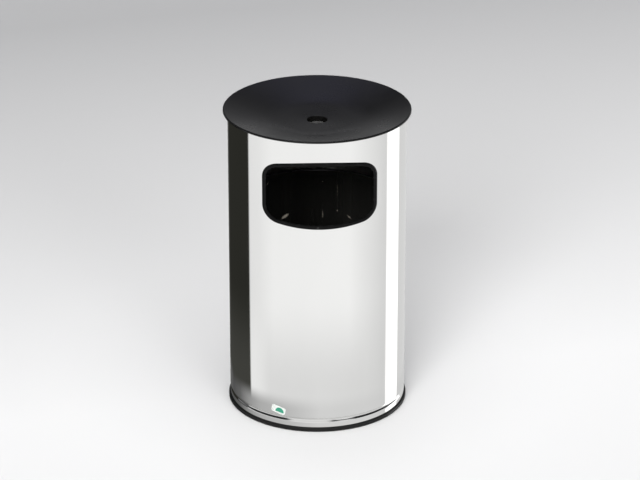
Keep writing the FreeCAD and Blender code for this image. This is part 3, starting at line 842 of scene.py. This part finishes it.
def make_liner(material):
    """Rolled wall with its top edge curled outwards over a wire."""
    inner = LINER_RADIUS - LINER_GAUGE
    centre, open_at = (LINER_RADIUS + RIM_WIRE, RIM_HEIGHT), math.radians(-134)
    wall = rounded([(inner, LINER_LOW), (LINER_RADIUS, LINER_LOW),
                    (LINER_RADIUS, RIM_HEIGHT - 6 * MM), (LINER_RADIUS, RIM_HEIGHT - 3 * MM)])
    wall += arc(centre, RIM_WIRE, math.pi, open_at, 22)
    wall += arc(centre, RIM_WIRE + LINER_GAUGE, open_at, math.pi, 30)
    wall += rounded([(inner, RIM_HEIGHT - 3 * MM), (inner, RIM_HEIGHT - 6 * MM)])
    fine = subdivided(wall, 30 * MM)
    return finish_piece(lathe("liner_drum", fine), "liner", "liner_coating", material, "liner_wall")


def make_liner_seam(material):
    """Folded lock seam down the inside of the liner."""
    half, proud, angle = 3.0 * MM, 0.9 * MM, math.radians(163)
    low, high, count = 39.5 * MM, RIM_HEIGHT - 5 * MM, 40
    inner = LINER_RADIUS - LINER_GAUGE
    section = rounded([(-half, -0.1 * MM), (half, -0.1 * MM), (half * 0.85, proud, 0.6 * MM),
                       (-half * 0.85, proud, 0.6 * MM)], step=15, support=0.15 * MM)
    stations = []
    for step in range(count):
        height = low + (high - low) * step / (count - 1)
        stations.append([around(inner - lift, angle + across / inner, height) for across, lift in section])
    return finish_piece(sweep("liner_seam", stations), "liner", "liner_coating", material)


def make_liner_floor(material):
    """Recessed floor with a downturned flange and two pressed rings."""
    outer, level = LINER_RADIUS - LINER_GAUGE, LINER_FLOOR + LINER_GAUGE
    raise_by = 0.9 * MM
    profile = rounded([
        (0, level), (60 * MM, level), (62 * MM, level + raise_by, 2 * MM),
        (70 * MM, level + raise_by, 2 * MM), (72 * MM, level),
        (128 * MM, level), (130 * MM, level + raise_by, 2 * MM),
        (138 * MM, level + raise_by, 2 * MM), (140 * MM, level),
        (outer, level, 2 * MM), (outer, LINER_LOW),
        (outer - LINER_GAUGE, LINER_LOW), (outer - LINER_GAUGE, LINER_FLOOR, 1.2 * MM), (0, LINER_FLOOR),
    ])
    return finish_piece(lathe("liner_bottom", profile, closed=False), "liner", "liner_coating",
                        material, "liner_floor")


def make_rivets(side, direction, material):
    """Two domed rivets: wide head inside the ear, clenched head outside the wall."""
    inside = LINER_RADIUS - LINER_GAUGE - EAR_GAUGE - 0.05 * MM
    shank, steps = 2 * MM, 28
    head = [(0.0, -1.4), (1.2, -1.35), (2.4, -1.1), (3.3, -0.7), (3.9, -0.25), (4.0, 0.0)]
    tail = [(4.0, 0.0), (3.7, 0.5), (2.9, 1.0), (1.6, 1.32), (0.0, 1.4)]
    profile = [(inside + along * MM, across * MM) for across, along in head]
    profile += [(inside, shank), (LINER_RADIUS, shank)]
    profile += [(LINER_RADIUS + along * MM, across * MM) for across, along in tail]
    vertices, faces = [], []
    for height in RIVET_HEIGHTS:
        faces += grid_faces(len(profile), steps, first=len(vertices))
        for along, across in profile:
            for step in range(steps):
                angle = 2 * math.pi * step / steps
                vertices.append((direction * along, across * math.sin(angle),
                                 height + across * math.cos(angle)))
    piece = make_object(side + "_rivets", vertices, faces)
    return finish_piece(piece, "liner", "rivet_steel", material, side + "_ear_rivets")


# ---- bail

def bow():
    """Radius and centre of the bail's bow, which follow from its reach and its end bends."""
    radius = ((BEND_START ** 2 + (BAIL_REACH - BAIL_BEND) ** 2 - BAIL_BEND ** 2)
              / (2 * (BAIL_REACH - 2 * BAIL_BEND)))
    return radius, radius - BAIL_REACH


def tube(name, line, radii, sides=24):
    """Skin round a 2-D line in the bail's plane, with a radius at each of its points, hung at rest."""
    droop = Matrix.Rotation(BAIL_DROOP, 3, "X")
    pivot = Vector((0, 0, BAIL_HEIGHT))
    stations = []
    for index, point in enumerate(line):
        ahead = line[min(index + 1, len(line) - 1)] - line[max(index - 1, 0)]
        across = Vector((ahead.y, -ahead.x, 0)).normalized()
        ring = []
        for step in range(sides):
            angle = 2 * math.pi * step / sides
            lift = Vector((0, 0, radii[index] * math.sin(angle)))
            offset = across * (radii[index] * math.cos(angle)) + lift
            ring.append(pivot + droop @ (point.to_3d() + offset))
        stations.append(ring)
    return sweep(name, stations)


def make_bail(material):
    """Bail wire from end to end: a straight stub in each ear, a tight bend, and the long bow."""
    radius, centre = bow()
    reach = math.atan2(-BAIL_BEND - centre, BEND_START)
    right = [Vector((BAIL_END + (BEND_START - BAIL_END) * step / 8, 0)) for step in range(8)]
    right += arc((BEND_START, -BAIL_BEND), BAIL_BEND, math.pi / 2, reach, 9)
    right += arc((0, centre), radius, reach, -math.pi / 2, 80)[1:-1]
    middle = Vector((0, centre - radius))
    line = right + [middle] + [Vector((-point.x, point.y)) for point in reversed(right)]
    bevel = Vector((0.5 * MM, 0))
    line.insert(1, line[0] + bevel)
    line.insert(-1, line[-1] + bevel)
    radii = [BAIL_WIRE * 0.7] + [BAIL_WIRE] * (len(line) - 2) + [BAIL_WIRE * 0.7]
    return finish_piece(tube("bail_wire", line, radii), "bail", "wire_steel", material, "bail")


def make_grip(material):
    """Moulded sleeve with soft finger rings and rounded ends."""
    radius, centre = bow()
    steps, rings = 120, 7
    line = arc((0, centre), radius, -math.pi / 2 - GRIP_SPAN / 2, -math.pi / 2 + GRIP_SPAN / 2, steps)
    radii = []
    for step in range(steps + 1):
        share = step / steps
        end = min(share, 1 - share) * GRIP_SPAN * radius
        shoulder = math.sqrt(max(0.0, 1 - (1 - min(end / (3 * MM), 1)) ** 2))
        groove = 0.55 * MM * (0.5 - 0.5 * math.cos(2 * math.pi * rings * share)) ** 2
        radii.append(BAIL_WIRE + (GRIP_RADIUS - BAIL_WIRE - groove) * shoulder)
    return finish_piece(tube("bail_sleeve", line, radii, sides=36), "bail", "grip_plastic",
                        material, "bail_grip")


# ---- stage

def reflected_studio():
    """What the polished drum mirrors: a glowing sheet on the floor all round it, turned up at the far end,
    which paints the drum's reflection, painted shade at its foot included.

    A vertical mirror drum sends the view at one of its points out at twice that point's bearing,
    so each column of this sheet starts at the drum and runs out along its own mirrored bearing.
    Only glossy rays meet it. Bearings are degrees from -Y towards +X.
    """
    reach, wall_top, lift = 3.4, 0.9, 0.4 * MM
    columns = 240
    runs = [0.004, 0.03, 0.06, 0.09, 0.12, 0.15, 0.2, 0.27, 0.36, 0.48, 0.62, 0.8, 1.1, 1.6, 2.4, reach]
    vertices, spots = [], []
    for column in range(columns + 1):
        bearing = -180 + 360 * column / columns
        half = bearing / 2
        side = math.copysign(1, bearing)
        start = half if abs(half) <= 75 else side * (75 + (abs(half) - 75) * 7)
        start, turn = math.radians(start), math.radians(bearing)
        foot = Vector(around(BODY_RADIUS + 4 * MM, start, lift))
        ahead = Vector(around(1, turn, 0))
        for run in runs:
            vertices.append(foot + ahead * run)
            spots.append((column / columns, run))
        vertices.append(foot + ahead * reach + Vector((0, 0, wall_top - lift)))
        spots.append((column / columns, reach))
    sheet = make_object("painted_reflection_sheet", vertices, grid_faces(columns + 1, len(runs) + 1, wrap=False))
    layer = sheet.data.uv_layers.new(name="spread")
    for loop in sheet.data.loops:
        layer.data[loop.index].uv = spots[loop.vertex_index]
    sheet.data.materials.append(painted_reflection_tones())
    for ray in ("camera", "diffuse", "transmission", "volume_scatter", "shadow"):
        setattr(sheet, "visible_" + ray, False)


def painted_reflection_tones():
    """Painted reflection tones of the sheet by bearing: far out, nearer the drum, and right at its foot."""
    material = bpy.data.materials.new("studio_card_tones")
    material.use_nodes = True
    tree = material.node_tree
    tree.nodes.clear()
    flat = tree.nodes.new("ShaderNodeUVMap")
    flat.uv_map = "spread"
    split = tree.nodes.new("ShaderNodeSeparateXYZ")
    tree.links.new(flat.outputs["UV"], split.inputs["Vector"])

    def tones(*stops):
        placed = [((bearing + 180) / 360, tone if isinstance(tone, tuple) else grey(tone))
                  for bearing, tone in stops]
        return colour_ramp(tree, split.outputs["X"], placed)

    def blend(inner, outer, start, stop):
        return mixed(tree, smooth_share(tree, split.outputs["Y"], start, stop), inner, outer)

    # Painted reflections: a dark strip on the left, and a strip brighter than white from 102 to 128
    # degrees.
    strip = (0.025, 0.025, 0.021)
    far = tones((-180, 0.40), (-160, strip), (-102.5, strip),
                (-100.5, 0.86), (-85, 0.88), (-62, 0.98), (40, 1.0), (66, 0.88), (99, 0.74),
                (102, 1.6), (128, 1.6), (130, 0.73), (180, 0.70))
    # Painted shade: nearer the drum the floor's tones fall, most in front.
    near = tones((-180, 0.50), (-160, (0.055, 0.055, 0.049)), (-102.5, (0.056, 0.056, 0.050)),
                 (-100.5, 0.93), (-85, 0.90), (-68, 0.80), (0, 0.80), (66, 0.77), (99, 0.70),
                 (102, 1.6), (128, 1.6), (130, 0.71), (180, 0.70))
    # Painted shade at the drum's foot: darkest at the sides and behind, lighter in front.
    foot = tones((-180, 0.30), (-150, 0.09), (-128, 0.14), (-104, 0.35), (-85, 0.47), (-50, 0.54),
                 (0, 0.72), (66, 0.72), (99, 0.68), (102, 1.5), (128, 1.5), (130, 0.67), (180, 0.62))
    glow = tree.nodes.new("ShaderNodeEmission")
    tree.links.new(blend(blend(foot, near, 0.09, 0.17), far, 0.18, 0.7), glow.inputs["Color"])
    output = tree.nodes.new("ShaderNodeOutputMaterial")
    tree.links.new(glow.outputs["Emission"], output.inputs["Surface"])
    return material


def make_floor():
    """Pale floor with painted shade: darker far behind the bin and a little towards the left, standing in
    for the studio light falling off.
    """
    half = 90
    corners = [(-half, -half, 0), (half, -half, 0), (half, half, 0), (-half, half, 0)]
    floor = make_object("studio_floor", corners, [(0, 1, 2, 3)])
    shader = Shader("studio_floor", grey(0.8), 0.9, Specular_IOR_Level=0.0)
    split = shader.add("ShaderNodeSeparateXYZ")
    shader.link(shader.place, split.inputs["Vector"])
    # Painted shade: the floor's colour falls with distance behind the bin, tilted towards the left.
    away = shader.maths("SUBTRACT", split.outputs["Y"], shader.maths("MULTIPLY", split.outputs["X"], 0.25))
    back = shader.spread(away, 0.0, 1.0, -1.0, 7.0)
    shader.colour(
        back, (0.0, grey(0.75)), (0.13, grey(0.77)), (0.255, (0.61, 0.61, 0.612)),
        (0.34, (0.52, 0.52, 0.523)), (0.45, (0.40, 0.40, 0.405)), (1.0, (0.47, 0.47, 0.475)))
    floor.data.materials.append(shader.material)


def towards(bearing, elevation):
    """Unit vector in a direction given in degrees: bearing from the front, elevation above the floor."""
    turn, tilt = math.radians(bearing), math.radians(elevation)
    return Vector(around(math.cos(tilt), turn, math.sin(tilt)))


def soft_sun(name, bearing, elevation, spread, strength):
    """A distant soft light, so that the floor is lit alike everywhere."""
    data = bpy.data.lights.new(name, "SUN")
    data.energy = strength
    data.angle = math.radians(spread)
    lamp = place(name, data)
    lamp.visible_glossy = False
    lamp.rotation_euler = towards(bearing, elevation).to_track_quat("Z", "Y").to_euler()


def make_world():
    """A light band round the horizon under a dark studio ceiling, with soft patches laid over it."""
    world = bpy.data.worlds.new("studio")
    world.use_nodes = True
    tree = world.node_tree
    around_us = tree.nodes.new("ShaderNodeTexCoord").outputs["Generated"]

    def facing(bearing, elevation, inner, outer):
        """1 towards a direction, falling to 0 between two angles away from it."""
        dot = tree.nodes.new("ShaderNodeVectorMath")
        dot.operation = "DOT_PRODUCT"
        dot.inputs[1].default_value = towards(bearing, elevation)
        tree.links.new(around_us, dot.inputs[0])
        start, stop = math.cos(math.radians(outer)), math.cos(math.radians(inner))
        return smooth_share(tree, dot.outputs["Value"], start, stop)

    split = tree.nodes.new("ShaderNodeSeparateXYZ")
    tree.links.new(around_us, split.inputs["Vector"])
    sky = colour_ramp(tree, split.outputs["Z"], ((0.2, (0.26, 0.26, 0.27)), (0.55, (0.06, 0.06, 0.062))))
    # Bearing, elevation, inner and outer angle, and colour of each patch.
    patches = (
        (0, 20, 85, 110, (0.035, 0.035, 0.036)),  # dark half of the studio, in front
        (-158, 28, 8, 20, (0.015, 0.015, 0.018)),  # dark screen behind
        (178, 46, 4, 14, (0.34, 0.34, 0.50)),  # cool panel, seen in the dish's near flank
        (188, 71, 3, 18, (1.5, 1.5, 1.53)),  # overhead panel, seen in the dish from above
        (-12, 36, 22, 30, grey(0.75)),  # broad front panel, seen in the bead
        (35, 33, 9, 16, grey(0.8)),  # smaller front panel beside it
        (0, -90, 95, 99, (0.50, 0.50, 0.51)),  # floor's tone, up to just above the horizon
    )
    for bearing, elevation, inner, outer, colour in patches:
        sky = mixed(tree, facing(bearing, elevation, inner, outer), sky, colour)
    tree.links.new(sky, tree.nodes["Background"].inputs["Color"])
    bpy.context.scene.world = world


def make_studio():
    make_floor()
    make_world()
    reflected_studio()
    soft_sun("overhead", 5, 79, 60, 1.95)
    soft_sun("key", -18, 30, 24, 2.05)
    soft_sun("fill", 24, 24, 16, 0.45)


def make_camera():
    """Looking down on the front, from far enough away that the drum's sides stay nearly parallel."""
    distance, height, bearing = 6.43, 3.13, math.radians(-2)
    data = bpy.data.cameras.new("camera")
    data.sensor_width = 36
    data.lens = 183
    data.clip_end = 200
    camera = place("camera", data)
    camera.location = around(distance, bearing, height)
    aim = Vector((0.006, 0, 0.365))
    camera.rotation_euler = (aim - camera.location).to_track_quat("-Z", "Y").to_euler()
    bpy.context.scene.camera = camera


# ---- the whole bin

def dress_node(name, material):
    """Give a CAD node that stays its material."""
    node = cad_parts[name]
    node.data.materials.clear()
    node.data.materials.append(material)


def build_bin():
    coating, lacquer, wire = dish_coating(), liner_lacquer(), zinc_wire()
    rivet = rivet_metal()
    make_shell(polished_steel(), inner_steel())
    make_shell_weld(weld_steel())
    make_opening_trim(edging_plastic())
    make_foot_ring(foot_rubber())
    make_floor_pan(galvanised_sheet())
    make_sticker(sticker_film())
    make_dish(coating, stained_coating())
    make_centring_ring(coating)
    make_liner(lacquer)
    make_liner_seam(lacquer)
    make_liner_floor(lacquer)
    dress_node("liner_rim_wire", wire)
    for side, direction in (("left", -1), ("right", 1)):
        dress_node(side + "_ear", lacquer)
        make_rivets(side, direction, rivet)
    make_bail(wire)
    make_grip(grip_plastic())


make_camera()
make_studio()
build_bin()
bpy.context.scene.view_settings.view_transform = "Standard"
